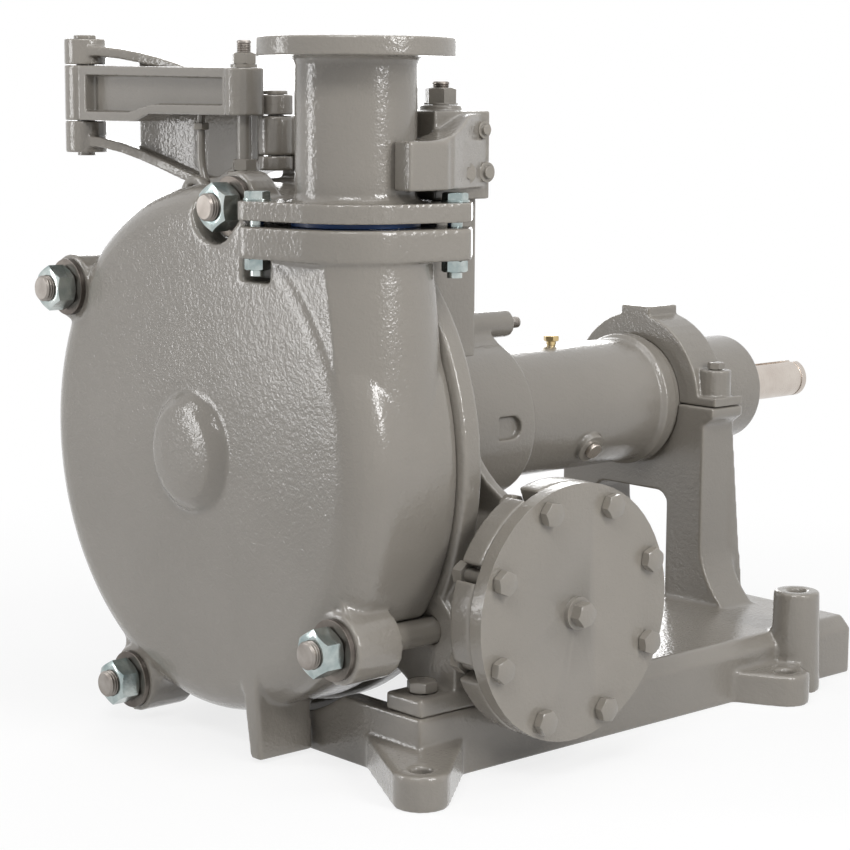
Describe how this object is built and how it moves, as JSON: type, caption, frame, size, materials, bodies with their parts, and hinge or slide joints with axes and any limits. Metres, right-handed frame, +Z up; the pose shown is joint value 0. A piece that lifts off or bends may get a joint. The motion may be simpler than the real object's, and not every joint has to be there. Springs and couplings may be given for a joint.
{
  "type": "slurry pump",
  "caption": "Horizontal slurry pump: round volute case on tie studs, side intake under a blanking plate, bearing cartridge in a saddle, and a folding davit that carries the case forwards.",
  "frame": {"origin": "underside of the base, on the floor under the shaft line, 50 mm behind the case's back face", "axes": "+Y along the shaft towards the drive end, +Z up, +X towards the intake flange"},
  "size_m": [0.7611, 1.088, 0.7923],
  "materials": {
    "grey_paint": "gloss enamel, warm grey, over cast iron",
    "bare_steel": "turned bare steel",
    "zinc_plate": "bright zinc plate",
    "brass": "plain brass",
    "blue_gasket": "bright blue sealing sheet",
    "dark_iron": "dark wear-resistant iron, as cast"
  },
  "bodies": {
    "stand": {"base_frame": "grey_paint", "intake_housing": "grey_paint", "rear_liner": "dark_iron", "intake_cover_plate": "grey_paint", "cover_bolt_1": "grey_paint", "cover_bolt_2": "grey_paint", "cover_bolt_3": "grey_paint", "cover_bolt_4": "grey_paint", "cover_bolt_5": "grey_paint", "cover_bolt_6": "grey_paint", "cover_bolt_7": "grey_paint", "cover_bolt_8": "grey_paint", "hold_down_bolt_left": "grey_paint", "hold_down_bolt_right": "grey_paint", "saddle_cap": "grey_paint", "cap_bolt_left": "grey_paint", "cap_bolt_right": "grey_paint", "bearing_lantern": "grey_paint", "jack_screw": "grey_paint", "expeller_case": "dark_iron", "davit_root_pin": "grey_paint", "yoke_post": "grey_paint", "post_bolt": "grey_paint", "spool_yoke": "grey_paint", "yoke_stud": "grey_paint", "tie_stud_top": "bare_steel", "tie_stud_upper_left": "bare_steel", "tie_stud_lower_left": "bare_steel", "tie_stud_lower_right": "bare_steel"},
    "cartridge": {"bearing_housing": "grey_paint", "breather": "brass", "drain_plug": "bare_steel", "front_bearing_outer": "bare_steel", "rear_bearing_outer": "bare_steel", "front_oil_seal": "dark_iron", "rear_oil_seal": "dark_iron"},
    "rotor": {"shaft": "bare_steel", "shaft_sleeve": "bare_steel", "expeller": "dark_iron", "impeller": "dark_iron", "front_bearing_inner": "bare_steel", "rear_bearing_inner": "bare_steel"},
    "rear_arm": {"davit_rear_link": "grey_paint", "davit_elbow_pin": "grey_paint"},
    "front_arm": {"davit_front_link": "grey_paint", "hook_bolt": "grey_paint"},
    "case_body": {"volute_case": "grey_paint", "discharge_spool": "grey_paint", "flange_seal_ring": "blue_gasket", "flange_bolt_rear": "zinc_plate", "flange_bolt_front": "zinc_plate", "case_hanging_bolt": "grey_paint", "tie_nut_top": "zinc_plate", "tie_nut_upper_left": "zinc_plate", "tie_nut_lower_left": "zinc_plate", "tie_nut_lower_right": "zinc_plate", "tie_washer_top": "dark_iron", "tie_washer_upper_left": "dark_iron", "tie_washer_lower_left": "dark_iron", "tie_washer_lower_right": "dark_iron"}
  },
  "joints": [
    {"name": "cartridge_adjust", "type": "slide", "parent": "stand", "child": "cartridge", "axis": [0, 1, 0], "range_m": [-0.003, 0.003]},
    {"name": "shaft_spin", "type": "hinge", "parent": "cartridge", "child": "rotor", "pos_m": [0, 0.47, 0.33], "axis": [0, 1, 0], "continuous": true},
    {"name": "davit_rear_swing", "type": "hinge", "parent": "stand", "child": "rear_arm", "pos_m": [0, -0.063, 0.69], "axis": [0, 0, 1], "range_deg": [0, 30]},
    {"name": "davit_front_swing", "type": "hinge", "parent": "rear_arm", "child": "front_arm", "pos_m": [-0.34931, -0.08498, 0.72], "axis": [0, 0, 1], "range_deg": [-60, 0]},
    {"name": "case_swing", "type": "hinge", "parent": "front_arm", "child": "case_body", "pos_m": [0, -0.10695, 0.72], "axis": [0, 0, 1], "range_deg": [0, 30]}
  ],
  "couplings": [
    {"joint": "davit_front_swing", "follows": "davit_rear_swing", "ratio": -2},
    {"joint": "case_swing", "follows": "davit_rear_swing", "ratio": 1}
  ]
}
